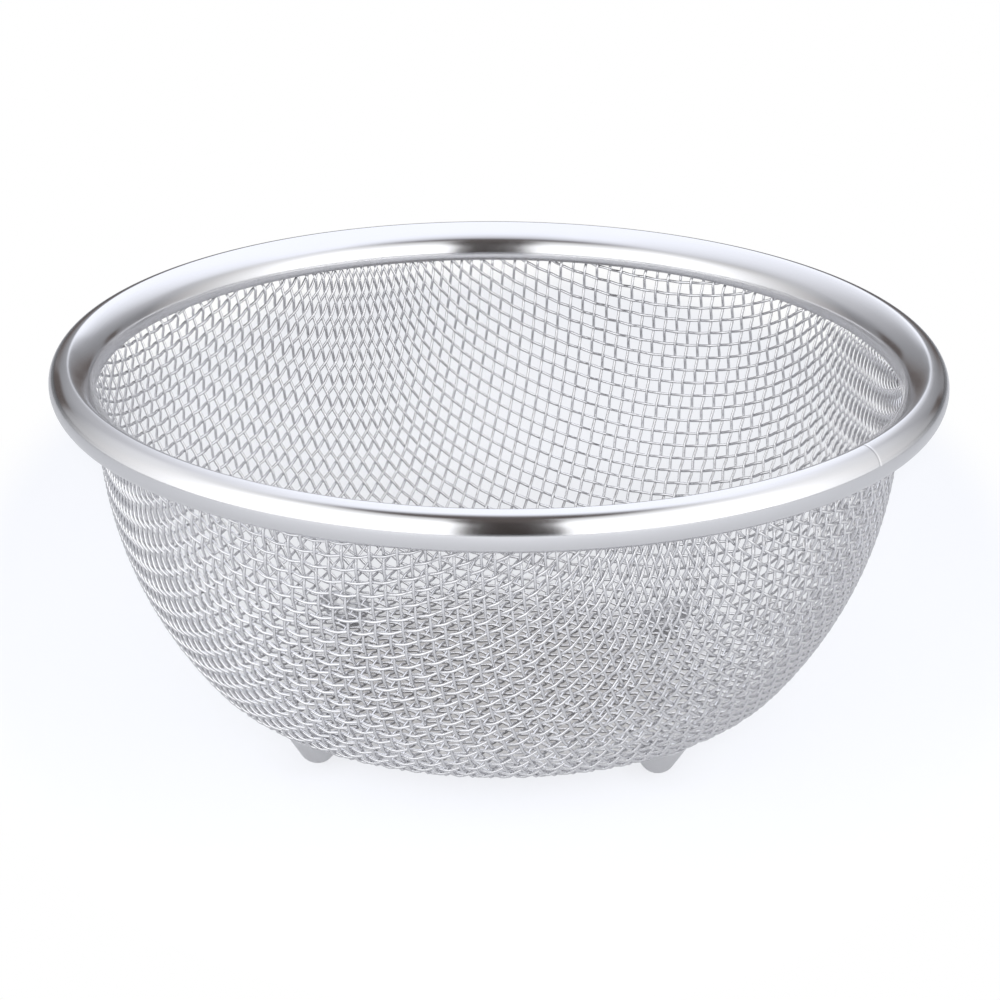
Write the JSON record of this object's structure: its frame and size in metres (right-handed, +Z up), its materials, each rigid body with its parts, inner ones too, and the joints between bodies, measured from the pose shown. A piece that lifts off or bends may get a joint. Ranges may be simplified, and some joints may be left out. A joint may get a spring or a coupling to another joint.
{
  "type": "round colander",
  "caption": "Round wire-mesh colander: a woven steel bowl with a flat floor, hung in a round tube hoop, standing on small pressed feet.",
  "frame": {"origin": "on the table under the middle of the bowl, level with the tips of the feet", "axes": "+Z up out of the bowl's mouth, -Y towards the front as pictured, +X to the right"},
  "size_m": [0.165, 0.165, 0.0693],
  "materials": {
    "woven_wire": "bright drawn stainless wire, plain weave",
    "polished_tube": "polished stainless tube",
    "satin_sheet": "satin pressed stainless sheet"
  },
  "bodies": {
    "root": {"mesh_bowl": "woven_wire", "rim_tube": "polished_tube", "foot_front_left": "satin_sheet", "foot_front_right": "satin_sheet", "foot_back_left": "satin_sheet", "foot_back_right": "satin_sheet"}
  },
  "joints": []
}
